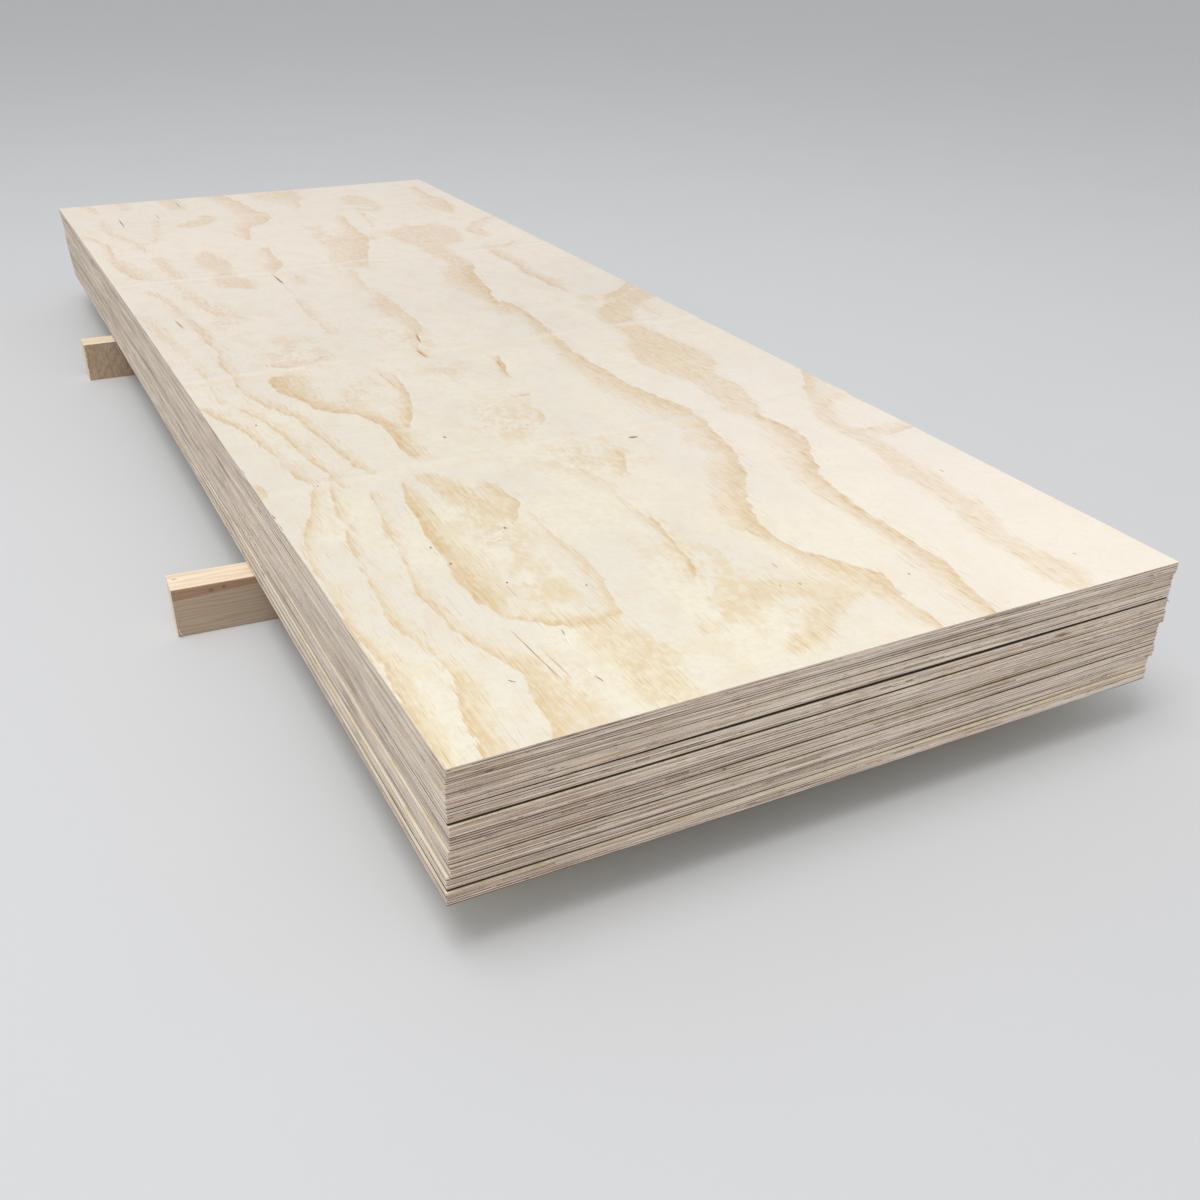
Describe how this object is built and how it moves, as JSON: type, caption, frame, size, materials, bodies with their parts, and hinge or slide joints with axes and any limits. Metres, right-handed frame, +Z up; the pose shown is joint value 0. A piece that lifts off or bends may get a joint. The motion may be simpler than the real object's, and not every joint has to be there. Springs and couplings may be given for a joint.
{
  "type": "stack of plywood sheets",
  "caption": "Stack of softwood plywood sheets lying on two timber bearers set on edge, with a free gap under the sheets for forks or slings.",
  "frame": {"origin": "on the floor, below the middle of the whole stack's box", "axes": "+X across the sheets, +Y along them away from the near end, +Z up"},
  "size_m": [1.052, 2.4464, 0.2266],
  "materials": {
    "plywood": "unsanded softwood face veneer, matt",
    "planed_timber": "planed pine, matt",
    "sawn_timber": "rough-sawn pine, matt"
  },
  "bodies": {
    "root": {"sheet_01": "plywood", "sheet_02": "plywood", "sheet_03": "plywood", "sheet_04": "plywood", "sheet_05": "plywood", "sheet_06": "plywood", "sheet_07": "plywood", "sheet_08": "plywood", "sheet_09": "plywood", "sheet_10": "plywood", "bearer_front": "planed_timber", "bearer_back": "sawn_timber"}
  },
  "joints": []
}
